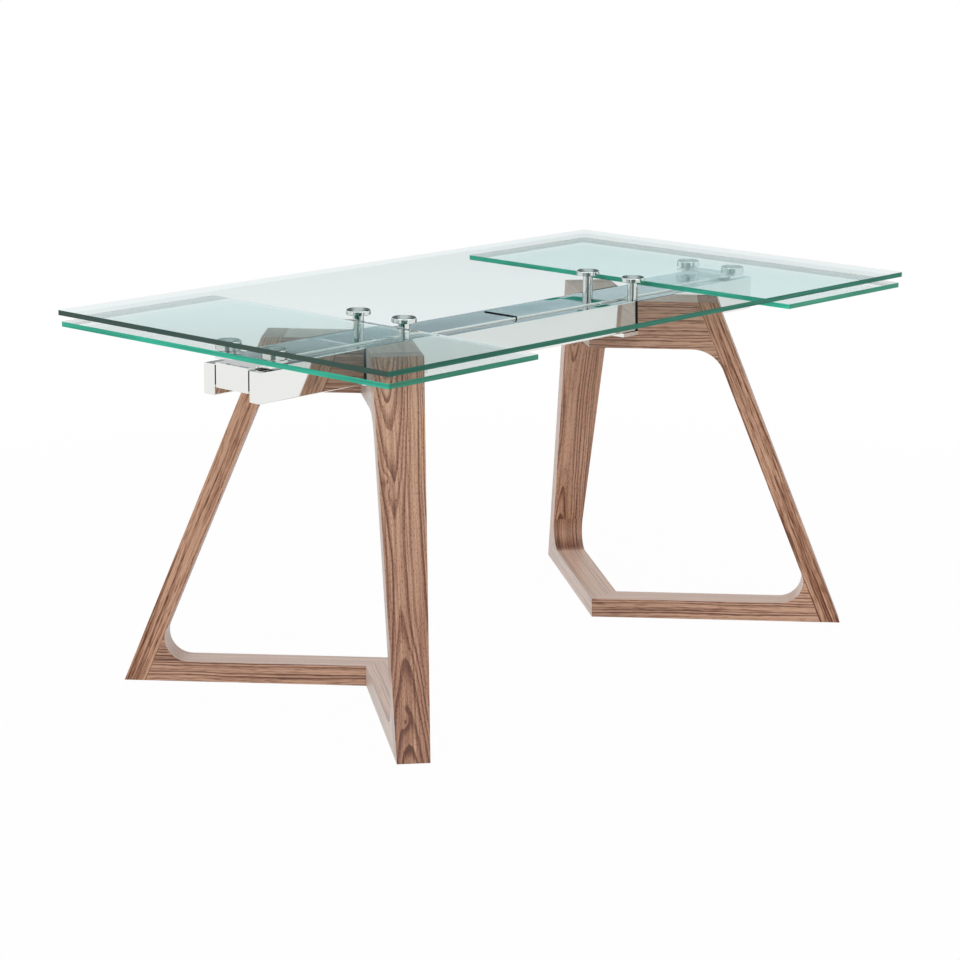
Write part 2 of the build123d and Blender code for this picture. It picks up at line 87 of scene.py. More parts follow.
class Graph:
    """Node tree of one material, with short ways to add and link nodes."""

    def __init__(self, name):
        self.material = bpy.data.materials.new(name)
        self.material.use_nodes = True
        self.tree = self.material.node_tree
        self.tree.nodes.clear()

    def feed(self, socket, value):
        if isinstance(value, bpy.types.NodeSocket):
            self.tree.links.new(value, socket)
        else:
            socket.default_value = value

    def add(self, kind, values=None, **settings):
        node = self.tree.nodes.new(kind)
        for key, value in settings.items():
            setattr(node, key, value)
        for key, value in (values or {}).items():
            self.feed(node.inputs[key], value)
        return node

    def math(self, operation, a, b=0.0, c=0.0):
        node = self.add("ShaderNodeMath", {0: a, 1: b, 2: c}, operation=operation)
        return node.outputs[0]

    def place(self):
        return self.add("ShaderNodeTexCoord").outputs["Object"]

    def facing(self):
        return self.add("ShaderNodeTexCoord").outputs["Normal"]

    def light_path(self):
        return self.add("ShaderNodeLightPath").outputs

    def dot(self, vector, direction):
        node = self.add("ShaderNodeVectorMath", {0: vector, 1: direction}, operation="DOT_PRODUCT")
        return node.outputs["Value"]

    def squareness(self, direction):
        """How squarely a face looks along a direction or against it, from 0 to 1."""
        return self.math("ABSOLUTE", self.dot(self.facing(), direction))

    def length(self, vector):
        return self.add("ShaderNodeVectorMath", {0: vector}, operation="LENGTH").outputs["Value"]

    def hypotenuse(self, a, b):
        squares = self.math("MULTIPLY_ADD", a, a, self.math("MULTIPLY", b, b))
        return self.math("SQRT", squares)

    def join(self, x, y, z):
        return self.add("ShaderNodeCombineXYZ", {0: x, 1: y, 2: z}).outputs[0]

    def stretch(self, vector, factors):
        node = self.add("ShaderNodeVectorMath", {0: vector, 1: factors}, operation="MULTIPLY")
        return node.outputs[0]

    def noise(self, vector, scale, detail=2.0, roughness=0.5):
        values = {"Vector": vector, "Scale": scale, "Detail": detail, "Roughness": roughness}
        return self.add("ShaderNodeTexNoise", values).outputs[0]

    def noise_1d(self, position, scale, detail=0.0):
        node = self.add("ShaderNodeTexNoise", noise_dimensions="1D")
        for key, value in {"W": position, "Scale": scale, "Detail": detail}.items():
            self.feed(node.inputs[key], value)
        return node.outputs[0]

    def centred(self, noise):
        return self.math("SUBTRACT", noise, 0.5)

    def span(self, value, low, high, to_low=0.0, to_high=1.0, kind="SMOOTHSTEP"):
        """value from low to high mapped to to_low..to_high, and held outside."""
        node = self.add("ShaderNodeMapRange", interpolation_type=kind)
        for index, number in enumerate((value, low, high, to_low, to_high)):
            self.feed(node.inputs[index], number)
        return node.outputs[0]

    def mix(self, factor, first, second, blend="MIX"):
        """A colour between first and second."""
        node = self.add("ShaderNodeMix", data_type="RGBA", blend_type=blend)
        for index, value in {0: factor, 6: first, 7: second}.items():
            self.feed(node.inputs[index], value)
        return node.outputs[2]

    def blend(self, factor, first, second):
        """A number between first and second."""
        node = self.add("ShaderNodeMix", data_type="FLOAT")
        for index, value in {0: factor, 2: first, 3: second}.items():
            self.feed(node.inputs[index], value)
        return node.outputs[0]

    def ramp(self, factor, stops):
        node = self.add("ShaderNodeValToRGB", {0: factor})
        elements = node.color_ramp.elements
        while len(elements) < len(stops):
            elements.new(1.0)
        for element, (position, colour) in zip(elements, stops):
            element.position = position
            element.color = solid(colour)
        return node.outputs[0]

    def bump(self, height, strength, distance):
        values = {"Height": height, "Strength": strength, "Distance": distance}
        return self.add("ShaderNodeBump", values).outputs[0]

    def glow(self, level):
        return self.add("ShaderNodeEmission", {"Color": solid(WHITE), "Strength": level}).outputs[0]

    def mix_shaders(self, factor, first, second):
        return self.add("ShaderNodeMixShader", {0: factor, 1: first, 2: second}).outputs[0]

    def output(self, shader):
        return self.add("ShaderNodeOutputMaterial", {"Surface": shader})

    def surface(self, **values):
        sockets = {key.replace("_", " "): value for key, value in values.items()}
        return self.output(self.add("ShaderNodeBsdfPrincipled", sockets).outputs[0])

    def seen_directly(self):
        """1 for rays of the camera, of mirrors and through glass, until they meet a matt surface."""
        path = self.light_path()
        first = self.math("MAXIMUM", path["Is Camera Ray"], path["Is Glossy Ray"])
        shown = self.math("MAXIMUM", first, path["Is Transmission Ray"])
        return self.math("MULTIPLY", shown, self.math("LESS_THAN", path["Diffuse Depth"], 0.5))


class WorldGraph(Graph):
    """Node tree of the world."""

    def __init__(self, world):
        world.use_nodes = True
        self.tree = world.node_tree
        self.tree.nodes.clear()

    def output(self, shader):
        return self.add("ShaderNodeOutputWorld", {"Surface": shader})


def paint(name, material):
    mesh = nodes[name].data
    mesh.materials.clear()
    mesh.materials.append(material)


def soften(name, width, segments):
    bevel = nodes[name].modifiers.new("soft edges", "BEVEL")
    bevel.width = width
    bevel.segments = segments
    bevel.limit_method = "ANGLE"
    bevel.angle_limit = radians(EDGE_ANGLE)
    bevel.harden_normals = True


def add_mesh(name, corners, panels, material):
    mesh = bpy.data.meshes.new(name)
    mesh.from_pydata(corners, [], panels)
    mesh.materials.append(material)
    made = bpy.data.objects.new(name, mesh)
    bpy.context.scene.collection.objects.link(made)
    return made


# Leg frames: the turn of a half from the Y axis, the lean of its leg from upright, and how deep
# its narrow outer face lies along the leg's own axis
HALF_ANGLE = 39.0
LEG_LEAN = 22.17
LEG_TIP = 0.6866

# Wood colours from dark to light, and the gloss
WALNUT_STOPS = [
    (0.00, (0.108, 0.030, 0.013)),
    (0.35, (0.262, 0.112, 0.061)),
    (0.65, (0.416, 0.217, 0.134)),
    (1.00, (0.645, 0.380, 0.254)),
]
WOOD_ROUGH = 0.36
WOOD_ROUGH_SPREAD = 0.14
WOOD_SPECULAR = 0.25
FULL_COAT = 0.8
THIN_COAT = 0.15
COAT_ROUGH = 0.30
SHEEN_ROUGH = 0.45
SHEEN_TINT = (1.0, 0.90, 0.84)

# Noise in the wood: rate along the grain, rate across it, then detail and roughness
SLOW_WAVE = (3.0, 13.0)
QUICK_WAVE = (11.0, 60.0)
FIBRE = (7.0, 330.0, 3.0, 0.65)
STREAK = (2.0, 150.0, 2.0, 0.6)
CLOUD = (2.5, 16.0)

# Pores: their rate along the grain on narrow and on wide faces
PORE_ALONG = (150.0, 32.0)
PORE_ACROSS = 520.0
PORE_DETAIL = 1.0
PORE_RANGE = (0.50, 0.67)

# Growth rings: how far the waves push them, how uneven the years are, and the dark late wood of a year
RING_SPACING = 0.0068
SLOW_WAVE_PUSH = 0.020
QUICK_WAVE_PUSH = 0.0026
UNEVEN_RATE = 0.41
UNEVEN_YEARS = 1.2
LATE_RISE = (0.30, 0.86)
LATE_FALL = (0.90, 1.0)
LINE_DEPTH = (0.12, 0.85)
LINE_LEAST = 0.84
LINE_IN_PORES = 0.2

# Arches: the rings round a pith that lies below the narrow face
ARCH_DEPTH = 0.0690
ARCH_SQUEEZE = (1.3, 1.35)
ARCH_SQUEEZE_RUN = (-0.2, 0.25)
ARCH_SLOPE = 0.19
ARCH_ROUND = 0.30
ARCH_MIDDLE = 0.09

# Knots on the foremost leg, as places along it and across it
TIP_KNOTS = [(0.2535, 0.3012), (-0.1994, 0.2878)]
KNOT_LENGTHWISE = 0.5
KNOT_BEND_REACH = (0.002, 0.014)
KNOT_BEND = 0.004
KNOT_CORE = (0.0008, 0.0028)

# Tone: what each trait adds; pairs are for narrow and for wide faces
PLAIN_TONE = 0.84
YEAR_TONE = 0.45
YEAR_TONE_RATE = 0.31
YEAR_TONE_DETAIL = 2.0
STREAK_TONE = 1.10
CLOUD_TONE = 0.35
FIBRE_TONE = 0.90
LINE_SHARE = (1.0, 1.3)
PORE_TONE = (-0.24, -0.36)
LEG_CONTRAST = (1.0, 1.85)
KNOT_TONE = -0.6
END_GRAIN_TONE = -0.50
# Painted shade along a leg: lighter above this place on its axis and darker below it, by this much a metre
LEG_MIDDLE = 0.20
LEG_PAINTED_SHADE = 0.50

# How squarely a face looks along an axis where it counts as wide, as end grain or as a curve's foot, where
# painted shade darkens it
WIDE_FACE = (0.6, 0.8)
END_FACE = (0.75, 0.9)
FOOT_RISE = (0.0, 0.45)
FOOT_FALL = (0.55, 1.0)
FOOT_LEFT = 0.35

# Relief
RELIEF_PORES = -0.6
RELIEF_STRENGTH = 0.10
RELIEF_HEIGHT = 0.0006


class WoodFinish(NamedTuple):
    """Finish of one piece of wood; its tone offset and brightness factor are partly its own tone and
    partly painted light and shade.

    The grain of a wrapped piece follows an inside curve that rises (1) or drops (-1) towards its
    outer end, and painted shade darkens the foot of that curve by the given depth.
    """

    tone_and_painted_light: float
    sheen: float
    coat: float = FULL_COAT
    lift: float = 1.0
    wrap: float = 0.0
    corner: float = 0.0
    fade: float = 0.0


# Tone offsets and brightness factors differ from piece to piece, partly as the wood's own tone and partly
# as painted light and shade
LEG_FINISHES = {
    "left_front": WoodFinish(tone_and_painted_light=-0.02, sheen=0.45, fade=LEG_PAINTED_SHADE),
    "left_back": WoodFinish(tone_and_painted_light=0.15, sheen=0.0, coat=THIN_COAT, fade=LEG_PAINTED_SHADE),
    "right_front": WoodFinish(tone_and_painted_light=0.02, sheen=0.0, coat=THIN_COAT, fade=LEG_PAINTED_SHADE),
    "right_back": WoodFinish(tone_and_painted_light=0.06, sheen=0.45, lift=1.22, fade=LEG_PAINTED_SHADE),
}
BASE_FINISHES = {
    "left_front": WoodFinish(tone_and_painted_light=0.03, sheen=1.0, wrap=1.0),
    "left_back": WoodFinish(tone_and_painted_light=0.02, sheen=1.0, wrap=1.0),
    "right_front": WoodFinish(tone_and_painted_light=0.12, sheen=0.80, wrap=1.0),
    "right_back": WoodFinish(tone_and_painted_light=0.12, sheen=0.60, wrap=1.0, corner=0.60),
}

# Middle of the arches across a leg's narrow face, and its drift along the grain
ARCHES = {
    "left_front": (0.286, 0.022),
    "left_back": (0.262, 0.0),
    "right_front": (0.275, 0.01),
    "right_back": (0.255, -0.02),
}
SEED_STEP = 1.7
BASE_SEED = 0.6
BEAM_SEED = 1.1


class WoodGraph(Graph):
    """Node tree of a piece of wood, with the places along its grain, across it and deep into it."""

    def __init__(self, name, axes, seed, wrap):
        super().__init__(name)
        grain, across, deep = axes
        place = self.place()
        self.x, self.y, self.z = (self.dot(place, axis) for axis in axes)
        self.wide = self.span(self.squareness(across), *WIDE_FACE)
        self.endwise = self.squareness(grain)
        self.along = self.math("ADD", self.x, seed)
        self.layer = self.z
        if wrap:
            climb = self.math("MULTIPLY", self.z, wrap)
            self.along = self.math("ADD", self.along, self.blend(self.wide, climb, 0.0))
            self.layer = self.math("MULTIPLY", self.z, self.wide)

    def noise_at(self, lengthwise, sideways, detail=2.0, roughness=0.5):
        spot = self.join(
            self.math("MULTIPLY", self.along, lengthwise),
            self.math("MULTIPLY", self.y, sideways),
            self.math("MULTIPLY", self.layer, sideways),
        )
        return self.noise(spot, 1.0, detail, roughness)

    def by_face(self, pair):
        """The first of a pair on narrow faces, the second on wide ones."""
        return self.blend(self.wide, *pair)

    def more(self, tone, trait, share):
        return self.math("MULTIPLY_ADD", trait, share, tone)


def walnut(name, axes, seed, finish, arch=None, knots=()):
    """Walnut veneer, with the axes along the grain, square to its wide faces and to its narrow ones.

    Wide faces carry straight stripes. On narrow faces the growth rings draw pointed arches if
    arch is given, as the place of their middle and its drift along the grain; otherwise they
    carry straight stripes too.
    """
    g = WoodGraph(name, axes, seed, finish.wrap)
    stripe, knot = ring_places(g, arch, knots)
    years = g.math("DIVIDE", stripe, RING_SPACING)
    fibre = g.noise_at(*FIBRE)
    pore = g.span(g.noise_at(g.by_face(PORE_ALONG), PORE_ACROSS, PORE_DETAIL), *PORE_RANGE)
    line = late_lines(g, years, pore)
    tone = plain_tone(g, years, fibre, finish.tone_and_painted_light, bool(arch))
    tone = g.math("SUBTRACT", tone, g.math("MULTIPLY", line, g.by_face(LINE_SHARE)))
    tone = g.more(tone, pore, g.by_face(PORE_TONE))
    tone = g.more(tone, knot, KNOT_TONE)
    # Painted shade at the foot of the inside curve
    if finish.corner:
        past = g.span(g.endwise, *FOOT_FALL, 1.0, FOOT_LEFT)
        foot_shade = g.math("MULTIPLY", g.span(g.endwise, *FOOT_RISE), past)
        tone = g.more(tone, foot_shade, -finish.corner)
    if arch:
        tone = g.more(tone, g.span(g.endwise, *END_FACE), END_GRAIN_TONE)
    # Painted shade: legs lighter towards the top and darker towards the bottom
    tone = g.more(tone, g.math("SUBTRACT", g.x, LEG_MIDDLE), finish.fade)
    relief = g.more(fibre, pore, RELIEF_PORES)
    # A brightness factor above 1 is painted light on a piece that stands in shade
    stops = [(place, scaled(colour, finish.lift)) for place, colour in WALNUT_STOPS]
    g.surface(
        Base_Color=g.ramp(tone, stops),
        Roughness=g.math("MULTIPLY_ADD", fibre, WOOD_ROUGH_SPREAD, WOOD_ROUGH),
        Normal=g.bump(relief, RELIEF_STRENGTH, RELIEF_HEIGHT),
        Specular_IOR_Level=WOOD_SPECULAR,
        Coat_Weight=finish.coat,
        Coat_Roughness=COAT_ROUGH,
        Sheen_Weight=finish.sheen,
        Sheen_Roughness=SHEEN_ROUGH,
        Sheen_Tint=solid(SHEEN_TINT),
    )
    return g.material


def ring_places(g, arch, knots):
    """Place among the growth rings, bent round the knots, and 1 in the core of a knot."""
    stripe = g.blend(g.wide, arched(g, arch) if arch else g.y, g.z)
    stripe = g.more(stripe, g.centred(g.noise_at(*SLOW_WAVE)), SLOW_WAVE_PUSH)
    stripe = g.more(stripe, g.centred(g.noise_at(*QUICK_WAVE)), QUICK_WAVE_PUSH)
    knot = 0.0
    for along, across in knots:
        lengthwise = g.math("MULTIPLY", g.math("SUBTRACT", g.x, along), KNOT_LENGTHWISE)
        apart = g.hypotenuse(g.math("SUBTRACT", g.y, across), lengthwise)
        stripe = g.more(stripe, g.span(apart, *KNOT_BEND_REACH, 1.0, 0.0), KNOT_BEND)
        knot = g.math("ADD", knot, g.span(apart, *KNOT_CORE, 1.0, 0.0))
    return stripe, knot


def arched(g, arch):
    """Distance from the pith: nearest to the face in the middle of the length, deeper to the ends."""
    middle, drift = arch
    sideways = g.math("SUBTRACT", g.math("MULTIPLY_ADD", g.x, -drift, g.y), middle)
    sideways = g.math("MULTIPLY", sideways, g.span(g.x, *ARCH_SQUEEZE_RUN, *ARCH_SQUEEZE))
    run = g.math("SUBTRACT", g.x, ARCH_MIDDLE)
    bend = g.math("SQRT", g.math("MULTIPLY_ADD", run, run, ARCH_ROUND**2))
    depth = g.math("MULTIPLY_ADD", bend, -ARCH_SLOPE, ARCH_DEPTH + ARCH_SLOPE * ARCH_ROUND)
    inwards = g.math("ADD", g.math("SUBTRACT", g.z, LEG_TIP), depth)
    return g.hypotenuse(sideways, inwards)


def late_lines(g, years, pore):
    """Dark late wood at the end of each year, some years more than others."""
    uneven = g.math("MULTIPLY_ADD", g.noise_1d(years, UNEVEN_RATE), UNEVEN_YEARS, years)
    year = g.math("FLOOR", uneven)
    season = g.math("FRACT", uneven)
    late = g.math("MULTIPLY", g.span(season, *LATE_RISE), g.span(season, *LATE_FALL, 1.0, 0.0))
    chance = g.add("ShaderNodeTexWhiteNoise", {"W": year}, noise_dimensions="1D").outputs[0]
    grainy = g.math("MULTIPLY_ADD", pore, LINE_IN_PORES, LINE_LEAST)
    return g.math("MULTIPLY", g.math("MULTIPLY", late, grainy), g.span(chance, 0.0, 1.0, *LINE_DEPTH))


def plain_tone(g, years, fibre, tone_and_painted_light, is_leg):
    """Tone of the wood before its lines and pores."""
    year_noise = g.noise_1d(years, YEAR_TONE_RATE, YEAR_TONE_DETAIL)
    contrast = g.by_face(LEG_CONTRAST) if is_leg else 1.0
    # The piece's tone offset is partly its own tone and partly painted light and shade
    tone = g.more(PLAIN_TONE + tone_and_painted_light, g.centred(year_noise), YEAR_TONE)
    tone = g.more(tone, g.centred(g.noise_at(*STREAK)), g.math("MULTIPLY", contrast, STREAK_TONE))
    tone = g.more(tone, g.centred(g.noise_at(*CLOUD)), CLOUD_TONE)
    return g.more(tone, g.centred(fibre), g.math("MULTIPLY", contrast, FIBRE_TONE))


def half_axes(side, face):
    """Directions of a leg-frame half: along it and square to it, outwards."""
    angle = radians(HALF_ANGLE)
    along = Vector((side * sin(angle), face * cos(angle), 0.0))
    outward = Vector((side * cos(angle), -face * sin(angle), 0.0))
    return along, outward


def dress_half(half, side, face, seed):
    along, outward = half_axes(side, face)
    lean = radians(LEG_LEAN)
    leg_axes = (UP * cos(lean) - along * sin(lean), outward, along * cos(lean) + UP * sin(lean))
    level_axes = (along, outward, UP)
    base = BASE_FINISHES[half]
    beam = base._replace(wrap=-base.wrap, corner=0.0)
    knots = TIP_KNOTS if half == "left_front" else ()
    woods = {
        "leg": walnut(f"walnut {half} leg", leg_axes, seed, LEG_FINISHES[half], ARCHES[half], knots),
        "base": walnut(f"walnut {half} base", level_axes, seed + BASE_SEED, base),
        "top_beam": walnut(f"walnut {half} beam", level_axes, seed + BEAM_SEED, beam),
    }
    for piece, wood in woods.items():
        paint(f"{half}_{piece}", wood)
        soften(f"{half}_{piece}", WOOD_EDGE, 2)


def dress_wood():
    seed = 0.0
    for side_word, side in SIDES.items():
        for face_word, face in FACES.items():
            seed += SEED_STEP
            dress_half(f"{side_word}_{face_word}", side, face, seed)


# Glass: refraction, tint by depth, and the colours of its cut edges at the ends and along the sides
MAIN_GLASS = {
    "ior": 1.038,
    "tint": (0.83, 1.0, 1.0),
    "end_colour": (0.110, 0.155, 0.141),
    "side_colour": (0.090, 0.325, 0.235),
}
LEAF_GLASS = {
    "ior": 1.12,
    "tint": (0.75, 0.985, 0.94),
    "end_colour": (0.080, 0.770, 0.530),
    "side_colour": (0.120, 0.520, 0.350),
}
ABSORPTION_DENSITY = 10.0
GLASS_BODY = (0.985, 0.995, 0.995)
SMUDGE_SCALE = 6.0
SMUDGE_ROUGH = 0.004

# Cut edges: where a face counts as one, its streaks, and painted shade that makes them duller towards the
# left end
CUT_FACE = (0.25, 0.55)
CUT_END = (0.5, 0.8)
CUT_STREAKS = (7.0, 7.0, 240.0)
CUT_STREAK_RANGE = (0.3, 0.7)
CUT_STREAK_SHARE = 0.45
CUT_STREAK_DARK = 0.45
EDGE_RUN = (-0.7, 0.1)
EDGE_PAINTED_SHADE = 0.72


def cut_colour(g, end_colour, side_colour):
    end_on = g.span(g.squareness(LENGTHWISE), *CUT_END)
    streaks = g.noise(g.stretch(g.place(), CUT_STREAKS), 1.0)
    cut = g.mix(end_on, solid(side_colour), solid(end_colour))
    share = g.span(streaks, *CUT_STREAK_RANGE, 0.0, CUT_STREAK_SHARE)
    lively = g.mix(share, cut, solid(scaled(side_colour, CUT_STREAK_DARK)))
    # Painted shade: the cut edges darker towards the left end
    lit = g.span(g.dot(g.place(), LENGTHWISE), *EDGE_RUN, EDGE_PAINTED_SHADE, 1.0)
    return g.mix(1.0, lively, g.join(lit, lit, lit), "MULTIPLY")


def clear_glass(name, ior, tint, end_colour, side_colour):
    """Clear glass whose cut edges show a deeper tint than its faces."""
    g = Graph(name)
    edge = g.span(g.squareness(UP), *CUT_FACE, 1.0, 0.0)
    inside = g.add("ShaderNodeNewGeometry").outputs["Backfacing"]
    outer_edge = g.math("MULTIPLY", edge, g.math("SUBTRACT", 1.0, inside))
    smudge = g.noise(g.place(), SMUDGE_SCALE, FINE_DETAIL)
    output = g.surface(
        Base_Color=g.mix(outer_edge, solid(GLASS_BODY), cut_colour(g, end_colour, side_colour)),
        Roughness=g.span(smudge, *NOISE_RANGE, 0.0, SMUDGE_ROUGH),
        Transmission_Weight=g.math("SUBTRACT", 1.0, outer_edge),
        IOR=ior,
    )
    values = {"Color": solid(tint), "Density": ABSORPTION_DENSITY}
    g.feed(output.inputs["Volume"], g.add("ShaderNodeVolumeAbsorption", values).outputs[0])
    return g.material


def dress_glass():
    leaf = clear_glass("leaf glass", **LEAF_GLASS)
    panes = {"main_glass": clear_glass("main glass", **MAIN_GLASS)}
    panes.update({f"{word}_leaf_glass": leaf for word in SIDES})
    for name, glass in panes.items():
        paint(name, glass)
        soften(name, GLASS_EDGE, 1)


# Polished steel: its two shades, a painted dark bluish reflection on level faces, haze and waves in the
# polish
STEEL_SHADES = ((0.81, 0.815, 0.79), (0.89, 0.895, 0.87))
TOP_PAINTED_REFLECTION = (0.53, 0.53, 0.59)
PAINTED_TOP_FACE = (0.90, 0.97)
HAZE_SCALE = 9.0
HAZE_ROUGHER = 2.5
WAVE_STRETCH = (2.0, 9.0, 9.0)
WAVE_DETAIL = 1.0
WAVE_HEIGHT = 0.004
BAR_WAVES = 0.10
BAR_ROUGH = 0.03
TURNED_ROUGH = 0.02

# Painted reflections on turned steel: dark streaks down its middle and along its outlines, set square to
# the camera's direction
PAINTED_STREAK_COLOUR = (0.02, 0.06, 0.05)
PAINTED_STREAK_MIDDLE = (0.10, 0.26, 0.88, 0.0)
PAINTED_STREAK_RIM = (0.86, 0.95, 0.0, 0.65)
UPRIGHT_FACE = (0.3, 0.6)


def with_painted_streaks(g, colour):
    # Painted reflection: dark streaks in the colour down the middle and along the outlines as seen from
    # the camera's side, on upright faces only
    sideways = g.squareness(towards_camera().cross(UP))
    painted_streak = g.math("ADD", g.span(sideways, *PAINTED_STREAK_MIDDLE), g.span(sideways, *PAINTED_STREAK_RIM))
    upright = g.span(g.squareness(UP), *UPRIGHT_FACE, 1.0, 0.0)
    return g.mix(g.math("MULTIPLY", painted_streak, upright), colour, solid(PAINTED_STREAK_COLOUR))


def polished_steel(name, wavy, rough, turned=False):
    """Mirror polish with a trace of haze; wavy is how far the face is out of true."""
    g = Graph(name)
    haze = g.noise(g.place(), HAZE_SCALE, FINE_DETAIL)
    wave = g.noise(g.stretch(g.place(), WAVE_STRETCH), 1.0, WAVE_DETAIL)
    dark, light = STEEL_SHADES
    colour = g.mix(haze, solid(dark), solid(light))
    # Painted reflection: level faces darker and bluer, as if they mirrored a dark surround
    level = g.span(g.dot(g.facing(), UP), *PAINTED_TOP_FACE)
    colour = g.mix(level, colour, g.mix(1.0, colour, solid(TOP_PAINTED_REFLECTION), "MULTIPLY"))
    g.surface(
        Base_Color=with_painted_streaks(g, colour) if turned else colour,
        Metallic=1.0,
        Roughness=g.span(haze, *NOISE_RANGE, rough, HAZE_ROUGHER * rough),
        Normal=g.bump(wave, wavy, WAVE_HEIGHT),
    )
    return g.material


class Speckle(NamedTuple):
    """A plain finish between two shades, with the scale of its speckle."""

    dark: tuple
    light: tuple
    scale: float
    rough: float
    bump: float
    metallic: float = 0.0
    specular: float = 0.5


SPECKLES = {
    "black_plastic": Speckle((0.010, 0.010, 0.011), (0.022, 0.022, 0.024), 900.0, 0.45, 0.2, specular=0.0),
    "black_rubber": Speckle((0.008, 0.008, 0.008), (0.018, 0.018, 0.018), 700.0, 0.7, 0.3, specular=0.0),
    "black_steel": Speckle((0.016, 0.016, 0.017), (0.040, 0.040, 0.042), 500.0, 0.4, 0.15, metallic=1.0),
    "screw_steel": Speckle((0.36, 0.36, 0.37), (0.55, 0.55, 0.56), 400.0, 0.3, 0.1, metallic=1.0),
    "beech": Speckle((0.44, 0.27, 0.15), (0.62, 0.42, 0.26), 300.0, 0.55, 0.2),
    "felt": Speckle((0.05, 0.036, 0.028), (0.10, 0.075, 0.06), 1500.0, 0.9, 0.6),
}
SPECKLE_DETAIL = 4.0
SPECKLE_HARSH = 0.6
SPECKLE_ROUGH_SPREAD = 0.08
SPECKLE_HEIGHT = 0.0004


def speckled(name, look):
    """A plain finish with a fine speckle in its colour, gloss and surface."""
    g = Graph(name)
    speck = g.noise(g.place(), look.scale, SPECKLE_DETAIL, SPECKLE_HARSH)
    gloss = (look.rough - SPECKLE_ROUGH_SPREAD, look.rough + SPECKLE_ROUGH_SPREAD)
    g.surface(
        Base_Color=g.mix(speck, solid(look.dark), solid(look.light)),
        Metallic=look.metallic,
        Specular_IOR_Level=look.specular,
        Roughness=g.span(speck, *NOISE_RANGE, *gloss),
        Normal=g.bump(speck, look.bump, SPECKLE_HEIGHT),
    )
    return g.material


# Posts and the films that bond them to the glass: place, painted highlight in the middle, painted dark
# reflection at the ends
POST_Y = 0.0625
MAIN_FILM = (0.354, (0.70, 0.74, 0.71), (0.03, 0.05, 0.045))
LEAF_FILM = (0.705, (0.46, 0.53, 0.49), (0.26, 0.32, 0.29))
FILM_PAINTED_ENDS = (0.005, 0.016)
FILM_SPECK_SCALE = 600.0
FILM_SPECK_SHADE = 0.9
FILM_SPECULAR = 0.1
FILM_ROUGH = (0.30, 0.42)
PAD_ROOM = 0.0003


def bonding_film(name, post_x, painted_shine, end_colour):
    """Film under the glass: a painted highlight across its middle, standing in for the disc seen through
    it, and painted dark reflections at its ends, set square to the camera's direction.
    """
    g = Graph(name)
    level = towards_camera().cross(UP)
    across = g.dot(g.place(), level)
    ends = [(side * post_x, face * POST_Y, 0) for side in SIDES.values() for face in FACES.values()]
    near = 1.0
    for end in ends:
        apart = g.math("SUBTRACT", across, Vector(end).dot(level))
        near = g.math("MINIMUM", near, g.math("ABSOLUTE", apart))
    speck = g.noise(g.place(), FILM_SPECK_SCALE, FINE_DETAIL)
    middle = g.mix(speck, solid(scaled(painted_shine, FILM_SPECK_SHADE)), solid(painted_shine))
    # Painted highlight in the middle of each film, painted dark reflection towards its ends
    g.surface(
        Base_Color=g.mix(g.span(near, *FILM_PAINTED_ENDS), middle, solid(end_colour)),
        Specular_IOR_Level=FILM_SPECULAR,
        Roughness=g.span(speck, *NOISE_RANGE, *FILM_ROUGH),
    )
    return g.material


def dress_pads():
    films = {"main_post_bond_pads": MAIN_FILM}
    films.update({f"{word}_leaf_post_bond_pads": LEAF_FILM for word in SIDES})
    for name, film in films.items():
        paint(name, bonding_film(name.replace("_", " "), *film))
        shrink = nodes[name].modifiers.new("room under the glass", "DISPLACE")
        shrink.strength = -PAD_ROOM
        shrink.mid_level = 0.0


# Lip of a bumper: how far it stands over the bumper, how deep it sits in it, and its inset at the ends
LIP_HEIGHT = 0.0017
LIP_ROOT = 0.0010
LIP_INSET = 0.0010
LIP_EDGE = 0.0003
BOX_PANELS = [(0, 2, 3, 1), (4, 5, 7, 6), (0, 1, 5, 4), (1, 3, 7, 5), (3, 2, 6, 7), (2, 0, 4, 6)]


def add_bumper_lip(word, rubber):
    """Raised lip along the top of a slider's bumper: the black line where the two sliders meet."""
    low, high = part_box(f"{word}_slider_bumper")
    xs = (low[0], high[0])
    ys = (low[1] + LIP_INSET, high[1] - LIP_INSET)
    zs = (high[2] - LIP_ROOT, high[2] + LIP_HEIGHT)
    corners = [(x, y, z) for z in zs for y in ys for x in xs]
    lip = add_mesh(f"{word}_bumper_lip", corners, BOX_PANELS, rubber)
    bevel = lip.modifiers.new("soft edges", "BEVEL")
    bevel.width = LIP_EDGE
    bevel.segments = 2
    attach(lip, f"{word}_leaf")


def dress_fittings():
    finishes = {slot: speckled(slot.replace("_", " "), look) for slot, look in SPECKLES.items()}
    finishes["polished_steel"] = polished_steel("polished steel", BAR_WAVES, BAR_ROUGH)
    turned = polished_steel("turned steel", 0.0, TURNED_ROUGH, turned=True)
    for part in frame["record"]["subparts"]:
        if part["material_slot"] in finishes:
            paint(part["node"], finishes[part["material_slot"]])
        if "_post_stem" in part["node"] or "_post_disc" in part["node"]:
            paint(part["node"], turned)
    for word in SIDES:
        add_bumper_lip(word, finishes["black_rubber"])
    bars = ["front_rail", "back_rail", "rail_end_caps"]
    bars += [f"{word}_{piece}" for word in SIDES for piece in ("slider", "slider_end_cap", "bridge_plate")]
    for name in bars:
        soften(name, METAL_EDGE, 2)


# Floor: it shines a plain white where it is seen directly, and keeps the shadow near the table
FLOOR_SIZE = 60.0
FLOOR_ALBEDO = (0.60, 0.61)
FLOOR_GRAIN_SCALE = 3.0
FLOOR_GLOW = 0.98
FLOOR_NEAR = 1.6
FLOOR_FAR = 3.2


